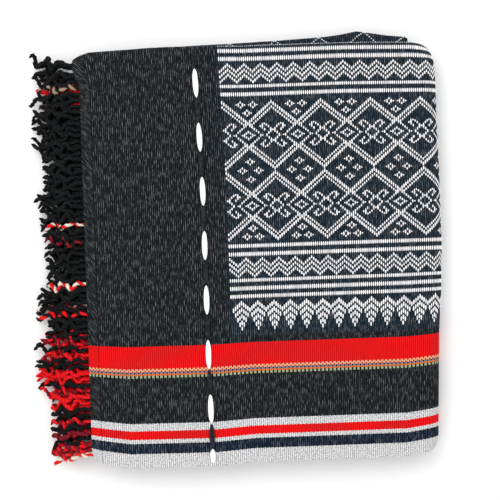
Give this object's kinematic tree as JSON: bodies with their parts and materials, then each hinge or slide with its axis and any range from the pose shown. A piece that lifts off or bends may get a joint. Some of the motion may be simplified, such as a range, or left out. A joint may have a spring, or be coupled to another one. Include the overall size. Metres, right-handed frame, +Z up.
{
  "type": "folded handwoven blanket",
  "caption": "Handwoven blanket with striped borders, brocaded bands and twisted fringes, folded to a flat packet for a shelf, chair or bed",
  "frame": {"origin": "the middle of the footprint of the folded packet with its fringe, on the surface that it rests on", "axes": "+X along the warp, away from the fringe; +Y along the weft, from the striped selvedge on top towards the round fold; +Z up"},
  "size_m": [0.3744, 0.3888, 0.0335],
  "materials": {
    "cloth": "black warp-faced handweave with fine ribs, red, navy and grey heather stripes and white brocade, matt",
    "upper_fringe": "thick plied wool cords in red, black and cream, matt",
    "lower_fringe": "thick plied wool cords, mostly black, matt",
    "white_yarn": "thick soft white yarn floats, matt",
    "black_yarn": "thick soft black yarn floats, slight sheen"
  },
  "bodies": {
    "root": {"cloth": "cloth", "upper_fringe": "upper_fringe", "lower_fringe": "lower_fringe", "white_float_1": "white_yarn", "white_float_2": "white_yarn", "white_float_3": "white_yarn", "white_float_4": "white_yarn", "white_float_5": "white_yarn", "white_float_6": "white_yarn", "white_float_7": "white_yarn", "white_float_8": "white_yarn", "black_float_1": "black_yarn", "black_float_2": "black_yarn", "black_float_3": "black_yarn", "black_float_4": "black_yarn", "black_float_5": "black_yarn", "black_float_6": "black_yarn", "black_float_7": "black_yarn", "black_float_8": "black_yarn"}
  },
  "joints": []
}
